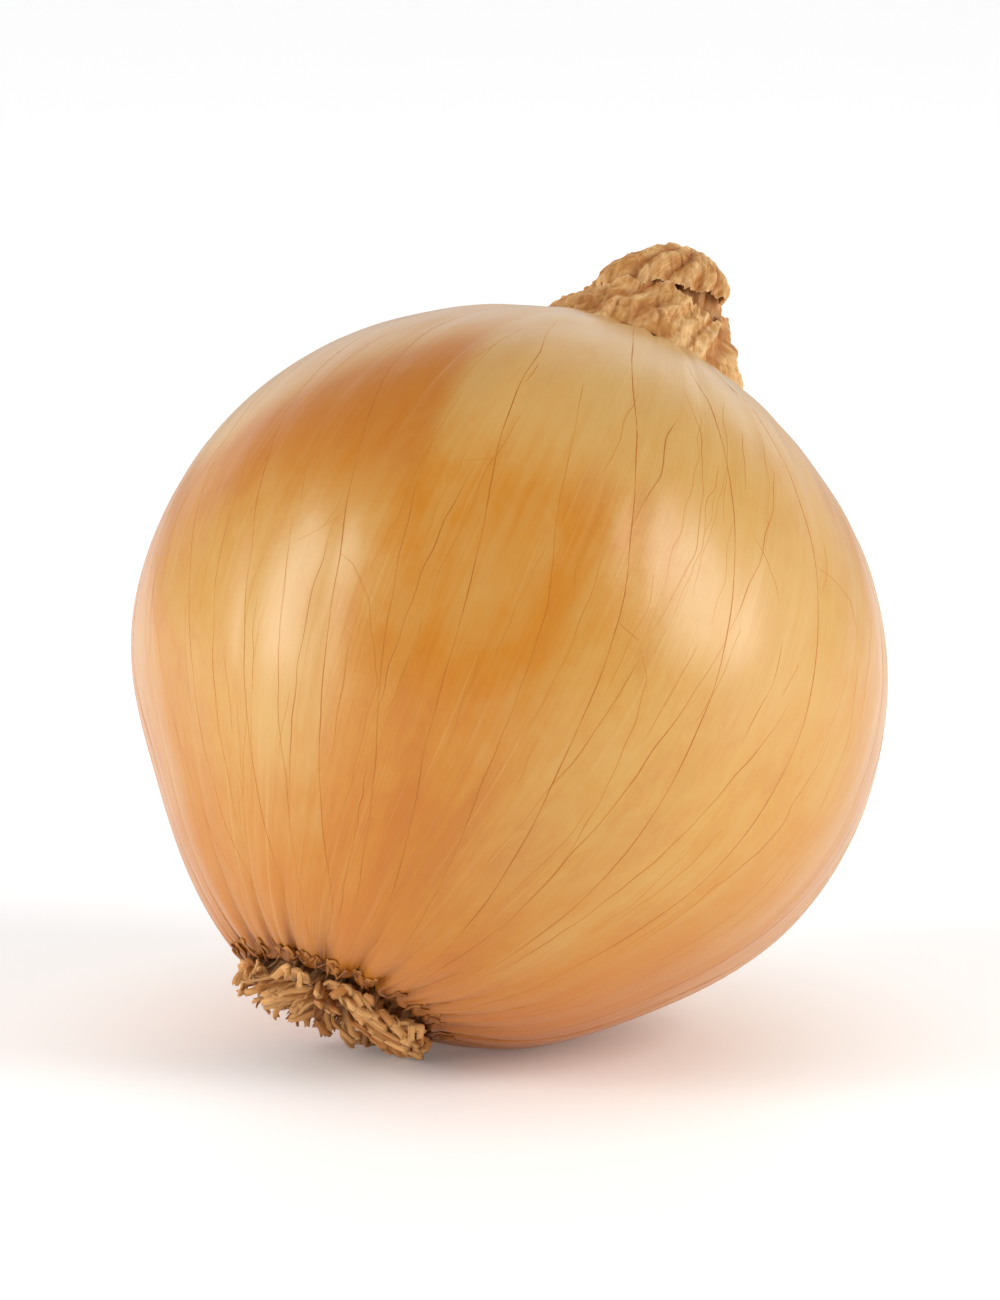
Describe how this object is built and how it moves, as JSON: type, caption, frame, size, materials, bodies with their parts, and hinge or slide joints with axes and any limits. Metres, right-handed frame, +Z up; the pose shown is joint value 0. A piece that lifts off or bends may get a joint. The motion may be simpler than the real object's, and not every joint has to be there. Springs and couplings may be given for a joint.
{
  "type": "onion",
  "caption": "Whole yellow onion lying leaned over: golden papery skin with fine veins, a withered folded neck and a tuft of dry roots.",
  "frame": {"origin": "point on the ground under the middle of the bulb, on the small flat spot that it rests on", "axes": "+Z up, away from the ground; -Y to the side that shows; the neck leans up towards +X and +Y, and the roots point down towards -X and -Y"},
  "size_m": [0.0795, 0.0799, 0.0826],
  "materials": {
    "golden_skin": "thin golden-brown onion skin with a satin sheen, fine lengthwise veins and faint streaks",
    "dry_neck": "matt, crumpled dry tan leaf",
    "dry_roots": "matt, straw-coloured dry roots, dark brown at their bases"
  },
  "bodies": {
    "root": {"bulb": "golden_skin", "neck": "dry_neck", "root_tuft": "dry_roots"}
  },
  "joints": []
}
